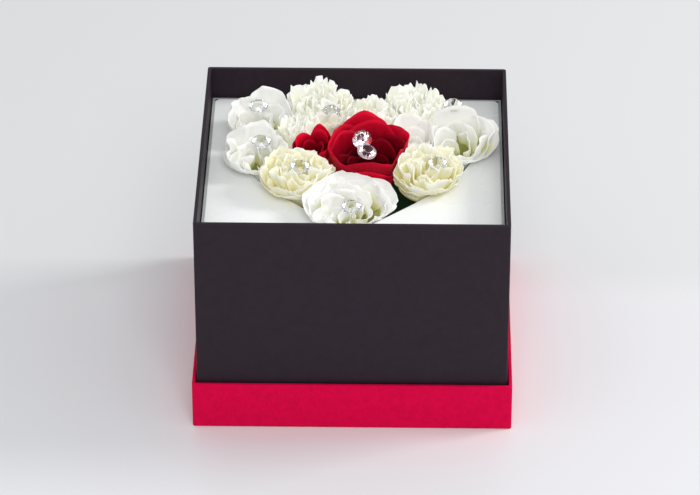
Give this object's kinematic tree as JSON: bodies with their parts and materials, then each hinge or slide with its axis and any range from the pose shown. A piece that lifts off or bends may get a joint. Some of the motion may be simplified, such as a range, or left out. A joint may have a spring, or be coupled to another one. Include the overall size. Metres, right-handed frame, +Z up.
{
  "type": "flower box",
  "caption": "Square rigid gift box standing in its upturned lid, with cut roses, carnations and lisianthus in wet foam filling a heart-shaped opening in a recessed white panel.",
  "frame": {"origin": "centre of the lid's underside, which the flower box stands on", "axes": "+Z up, +Y to the back, +X to the right seen from the front; the tip of the heart points to the front, -Y"},
  "size_m": [0.227, 0.227, 0.1761],
  "materials": {
    "black_paper": "matt",
    "red_paper": "matt, fine linen texture",
    "greyboard": "raw",
    "clear_acrylic": "clear, polished",
    "white_acrylic": "satin",
    "wet_foam": "fine open cells, soaked",
    "stem_green": "smooth",
    "red_petals": "velvety",
    "cream_petals": "thin, frilled",
    "white_petals": "thin, smooth",
    "crystal": "clear, faceted"
  },
  "bodies": {
    "lid": {"lid_back_board": "greyboard", "lid_front_board": "greyboard", "lid_left_board": "greyboard", "lid_lining": "red_paper", "lid_right_board": "greyboard", "lid_side_wrap": "red_paper", "lid_top_board": "greyboard", "lid_top_sheet": "red_paper"},
    "box": {"box_back_board": "greyboard", "box_bottom_board": "greyboard", "box_front_board": "greyboard", "box_left_board": "greyboard", "box_lining": "black_paper", "box_right_board": "greyboard", "box_wrap": "black_paper"},
    "insert": {"foam_brick_left": "wet_foam", "foam_brick_right": "wet_foam", "heart_panel": "white_acrylic", "insert_back_sheet": "clear_acrylic", "insert_floor_sheet": "clear_acrylic", "insert_front_sheet": "clear_acrylic", "insert_left_sheet": "clear_acrylic", "insert_right_sheet": "clear_acrylic"},
    "carnation_back_left": {"carnation_back_left_head": "cream_petals", "carnation_back_left_stem": "stem_green"},
    "carnation_back_middle": {"carnation_back_middle_head": "cream_petals", "carnation_back_middle_stem": "stem_green"},
    "carnation_back_right": {"carnation_back_right_head": "cream_petals", "carnation_back_right_stem": "stem_green"},
    "carnation_front_left": {"carnation_front_left_head": "cream_petals", "carnation_front_left_stem": "stem_green"},
    "carnation_front_right": {"carnation_front_right_head": "cream_petals", "carnation_front_right_stem": "stem_green"},
    "carnation_inner_left": {"carnation_inner_left_head": "cream_petals", "carnation_inner_left_stem": "stem_green"},
    "lisianthus_back_left": {"lisianthus_back_left_head": "white_petals", "lisianthus_back_left_stem": "stem_green"},
    "lisianthus_front": {"lisianthus_front_head": "white_petals", "lisianthus_front_stem": "stem_green"},
    "lisianthus_inner_right": {"lisianthus_inner_right_head": "white_petals", "lisianthus_inner_right_stem": "stem_green"},
    "lisianthus_left": {"lisianthus_left_head": "white_petals", "lisianthus_left_stem": "stem_green"},
    "lisianthus_right": {"lisianthus_right_head": "white_petals", "lisianthus_right_stem": "stem_green"},
    "rose_main": {"rose_main_head": "red_petals", "rose_main_stem": "stem_green"},
    "rose_side": {"rose_side_head": "red_petals", "rose_side_stem": "stem_green"},
    "pick_carnation_back_left_body": {"pick_carnation_back_left": "crystal"},
    "pick_carnation_front_left_body": {"pick_carnation_front_left": "crystal"},
    "pick_carnation_front_right_body": {"pick_carnation_front_right": "crystal"},
    "pick_lisianthus_back_left_body": {"pick_lisianthus_back_left": "crystal"},
    "pick_lisianthus_front_body": {"pick_lisianthus_front": "crystal"},
    "pick_lisianthus_left_body": {"pick_lisianthus_left": "crystal"},
    "pick_lisianthus_right_body": {"pick_lisianthus_right": "crystal"},
    "pick_rose_back_body": {"pick_rose_back": "crystal"},
    "pick_rose_front_body": {"pick_rose_front": "crystal"}
  },
  "joints": [
    {"name": "box_lift", "type": "slide", "parent": "lid", "child": "box", "axis": [0, 0, 1], "range_m": [0, 0.045]},
    {"name": "insert_lift", "type": "slide", "parent": "box", "child": "insert", "axis": [0, 0, 1], "range_m": [0, 0.17]},
    {"name": "carnation_back_left_lift", "type": "slide", "parent": "insert", "child": "carnation_back_left", "axis": [0, 0, 1], "range_m": [0, 0.13]},
    {"name": "carnation_back_middle_lift", "type": "slide", "parent": "insert", "child": "carnation_back_middle", "axis": [0, 0, 1], "range_m": [0, 0.13]},
    {"name": "carnation_back_right_lift", "type": "slide", "parent": "insert", "child": "carnation_back_right", "axis": [0, 0, 1], "range_m": [0, 0.13]},
    {"name": "carnation_front_left_lift", "type": "slide", "parent": "insert", "child": "carnation_front_left", "axis": [0, 0, 1], "range_m": [0, 0.13]},
    {"name": "carnation_front_right_lift", "type": "slide", "parent": "insert", "child": "carnation_front_right", "axis": [0, 0, 1], "range_m": [0, 0.13]},
    {"name": "carnation_inner_left_lift", "type": "slide", "parent": "insert", "child": "carnation_inner_left", "axis": [0, 0, 1], "range_m": [0, 0.13]},
    {"name": "lisianthus_back_left_lift", "type": "slide", "parent": "insert", "child": "lisianthus_back_left", "axis": [0, 0, 1], "range_m": [0, 0.13]},
    {"name": "lisianthus_front_lift", "type": "slide", "parent": "insert", "child": "lisianthus_front", "axis": [0, 0, 1], "range_m": [0, 0.13]},
    {"name": "lisianthus_inner_right_lift", "type": "slide", "parent": "insert", "child": "lisianthus_inner_right", "axis": [0, 0, 1], "range_m": [0, 0.13]},
    {"name": "lisianthus_left_lift", "type": "slide", "parent": "insert", "child": "lisianthus_left", "axis": [0, 0, 1], "range_m": [0, 0.13]},
    {"name": "lisianthus_right_lift", "type": "slide", "parent": "insert", "child": "lisianthus_right", "axis": [0, 0, 1], "range_m": [0, 0.13]},
    {"name": "rose_main_lift", "type": "slide", "parent": "insert", "child": "rose_main", "axis": [0, 0, 1], "range_m": [0, 0.13]},
    {"name": "rose_side_lift", "type": "slide", "parent": "insert", "child": "rose_side", "axis": [0, 0, 1], "range_m": [0, 0.13]},
    {"name": "pick_carnation_back_left_lift", "type": "slide", "parent": "carnation_back_left", "child": "pick_carnation_back_left_body", "axis": [0, 0, 1], "range_m": [0, 0.035]},
    {"name": "pick_carnation_front_left_lift", "type": "slide", "parent": "carnation_front_left", "child": "pick_carnation_front_left_body", "axis": [0, 0, 1], "range_m": [0, 0.035]},
    {"name": "pick_carnation_front_right_lift", "type": "slide", "parent": "carnation_front_right", "child": "pick_carnation_front_right_body", "axis": [0, 0, 1], "range_m": [0, 0.035]},
    {"name": "pick_lisianthus_back_left_lift", "type": "slide", "parent": "lisianthus_back_left", "child": "pick_lisianthus_back_left_body", "axis": [0, 0, 1], "range_m": [0, 0.035]},
    {"name": "pick_lisianthus_front_lift", "type": "slide", "parent": "lisianthus_front", "child": "pick_lisianthus_front_body", "axis": [0, 0, 1], "range_m": [0, 0.035]},
    {"name": "pick_lisianthus_left_lift", "type": "slide", "parent": "lisianthus_left", "child": "pick_lisianthus_left_body", "axis": [0, 0, 1], "range_m": [0, 0.035]},
    {"name": "pick_lisianthus_right_lift", "type": "slide", "parent": "lisianthus_right", "child": "pick_lisianthus_right_body", "axis": [0, 0, 1], "range_m": [0, 0.035]},
    {"name": "pick_rose_back_lift", "type": "slide", "parent": "rose_main", "child": "pick_rose_back_body", "axis": [0, 0, 1], "range_m": [0, 0.035]},
    {"name": "pick_rose_front_lift", "type": "slide", "parent": "rose_main", "child": "pick_rose_front_body", "axis": [0, 0, 1], "range_m": [0, 0.035]}
  ]
}
